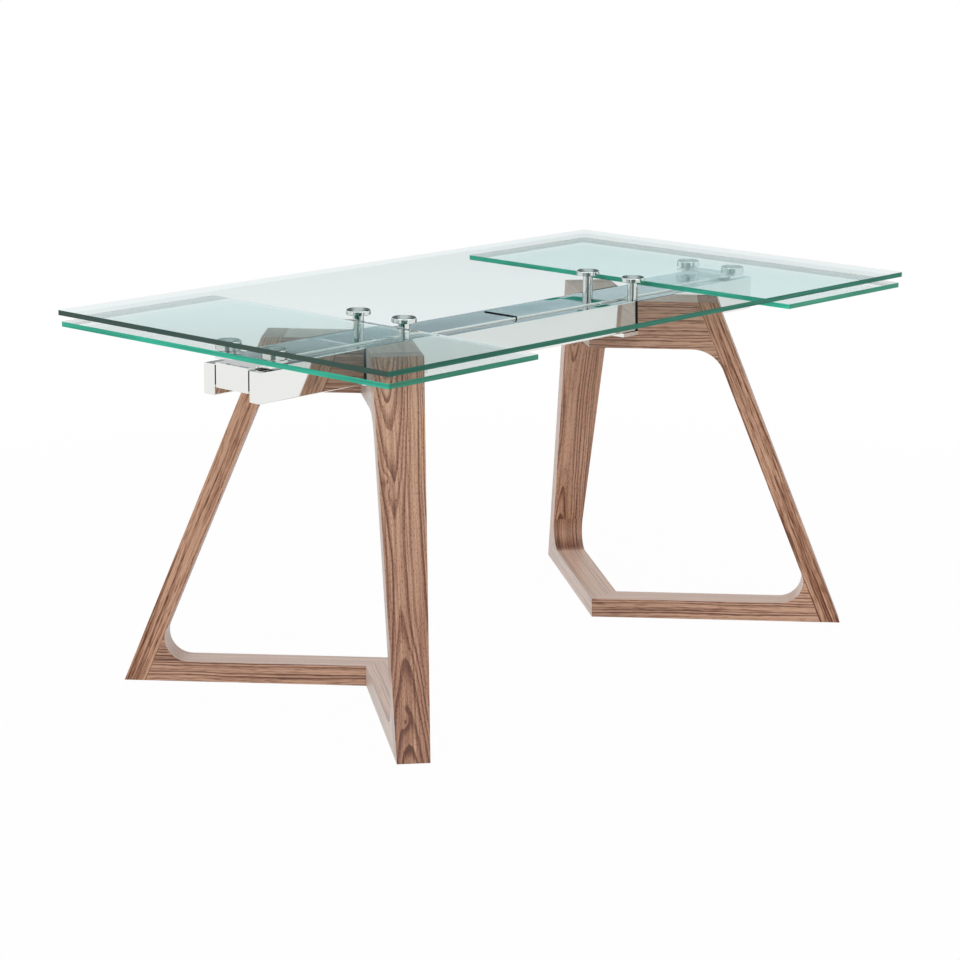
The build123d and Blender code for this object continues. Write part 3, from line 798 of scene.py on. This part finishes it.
def make_floor():
    g = Graph("floor")
    dark, light = ((albedo,) * 3 for albedo in FLOOR_ALBEDO)
    tint = g.mix(g.noise(g.place(), FLOOR_GRAIN_SCALE), solid(dark), solid(light))
    matt = g.add("ShaderNodeBsdfDiffuse", {"Color": tint}).outputs[0]
    far = g.span(g.length(g.place()), FLOOR_NEAR, FLOOR_FAR, FLOOR_GLOW, 1.0)
    g.output(g.mix_shaders(g.math("MULTIPLY", g.seen_directly(), far), matt, g.glow(1.0)))
    half = FLOOR_SIZE / 2
    corners = [(-half, -half, 0), (half, -half, 0), (half, half, 0), (-half, half, 0)]
    floor = add_mesh("floor", corners, [(0, 1, 2, 3)], g.material)


# Screen round the table, open at the far side: the turn that it reaches to each side of the camera
SCREEN_RADIUS = 2.2
SCREEN_HEIGHT = 0.8
SCREEN_SIDES = 96
SCREEN_REACH = 146.0
SCREEN_LEVEL = 0.97


def make_screen():
    """Low pale reflector that only mirror-like surfaces see, past glass too."""
    g = Graph("screen")
    mirrored = g.math("GREATER_THAN", g.light_path()["Glossy Depth"], 0.5)
    clear = g.add("ShaderNodeBsdfTransparent").outputs[0]
    g.output(g.mix_shaders(mirrored, clear, g.glow(SCREEN_LEVEL)))
    turns = [radians(SCREEN_REACH) * (2 * index / SCREEN_SIDES - 1) for index in range(SCREEN_SIDES + 1)]
    around = [Matrix.Rotation(turn, 3, "Z") @ towards_camera() * SCREEN_RADIUS for turn in turns]
    corners = [(spot.x, spot.y, z) for z in (0, SCREEN_HEIGHT) for spot in around]
    above = len(turns)
    panels = [(index, index + 1, index + 1 + above, index + above) for index in range(SCREEN_SIDES)]
    screen = add_mesh("screen", corners, panels, g.material)
    for ray in ("camera", "diffuse", "volume_scatter", "shadow"):
        setattr(screen, f"visible_{ray}", False)


# World, and a wall in it far behind the table, low over the horizon, that level surfaces mirror to
# the camera: dark, but pale where it is seen past glass, and dark again towards its top
WORLD_LEVEL = 0.60
WALL_FOOT = (0.045, 0.075)
WALL_TOP = (0.215, 0.255)
WALL_WIDTH = (-0.965, -0.94)
WALL_DARK = (0.030, 0.035, 0.040)
WALL_DIM = (0.75, 0.90, 0.925)
WALL_DIM_TOP = (0.05, 0.07, 0.07)
WALL_FADE = (0.162, 0.194)
WALL_PASSES = 2.5


def make_world():
    world = bpy.data.worlds.new("studio")
    bpy.context.scene.world = world
    g = WorldGraph(world)
    direction = g.add("ShaderNodeTexCoord").outputs["Generated"]
    height = g.dot(direction, UP)
    behind = g.span(g.dot(direction, towards_camera()), *WALL_WIDTH, 1.0, 0.0)
    band = g.math("MULTIPLY", g.span(height, *WALL_FOOT), g.span(height, *WALL_TOP, 1.0, 0.0))
    seen = g.seen_directly()
    wall = g.math("MULTIPLY", g.math("MULTIPLY", band, behind), seen)
    through_glass = g.math("GREATER_THAN", g.light_path()["Transmission Depth"], WALL_PASSES)
    dim = g.mix(g.span(height, *WALL_FADE), solid(WALL_DIM), solid(WALL_DIM_TOP))
    colour = g.mix(wall, solid(WHITE), g.mix(through_glass, solid(WALL_DARK), dim))
    level = g.span(seen, 0.0, 1.0, WORLD_LEVEL, 1.0, "LINEAR")
    g.output(g.add("ShaderNodeBackground", {"Color": colour, "Strength": level}).outputs[0])


# Lamps
TOP_LAMP_SIZE = 3.2
TOP_LAMP_PLACE = (-0.6, -0.4, 3.0)
TOP_LAMP_TARGET = (0, 0, 0.4)
TOP_LAMP_POWER = 31.0
SIDE_LAMP_FROM = (-13.0, -2.4, 2.5)
SIDE_LAMP_SPREAD = 24.0
SIDE_LAMP_LEVEL = 0.85


def hang_lamp(light, place, target):
    lamp = bpy.data.objects.new(light.name, light)
    lamp.location = place
    direction = Vector(target) - Vector(place)
    lamp.rotation_euler = direction.to_track_quat("-Z", "Y").to_euler()
    lamp.visible_camera = False
    lamp.visible_glossy = False
    bpy.context.scene.collection.objects.link(lamp)
    return lamp


def make_lamps():
    top = bpy.data.lights.new("top lamp", "AREA")
    top.shape = "SQUARE"
    top.size = TOP_LAMP_SIZE
    top.energy = TOP_LAMP_POWER
    hang_lamp(top, TOP_LAMP_PLACE, TOP_LAMP_TARGET)
    side = bpy.data.lights.new("side lamp", "SUN")
    side.angle = radians(SIDE_LAMP_SPREAD)
    side.energy = SIDE_LAMP_LEVEL
    hang_lamp(side, SIDE_LAMP_FROM, (0, 0, 0)).visible_transmission = False


def make_camera():
    azimuth = radians(CAMERA_AZIMUTH)
    elevation = radians(CAMERA_ELEVATION)
    roll = radians(CAMERA_ROLL)
    level = Vector((cos(azimuth), sin(azimuth), 0.0))
    back = Vector((sin(azimuth) * cos(elevation), -cos(azimuth) * cos(elevation), sin(elevation)))
    upright = back.cross(level)
    right = level * cos(roll) + upright * sin(roll)
    up = upright * cos(roll) - level * sin(roll)
    turn = Matrix((right, up, back)).transposed().to_4x4()
    data = bpy.data.cameras.new("camera")
    data.lens = CAMERA_LENS
    data.sensor_width = SENSOR
    camera = bpy.data.objects.new("camera", data)
    camera.matrix_world = Matrix.Translation(CAMERA_PLACE) @ turn
    bpy.context.scene.collection.objects.link(camera)
    bpy.context.scene.camera = camera


dress_wood()
dress_glass()
dress_fittings()
dress_pads()
make_floor()
make_screen()
make_world()
make_lamps()
make_camera()
bpy.context.scene.view_settings.view_transform = "Standard"
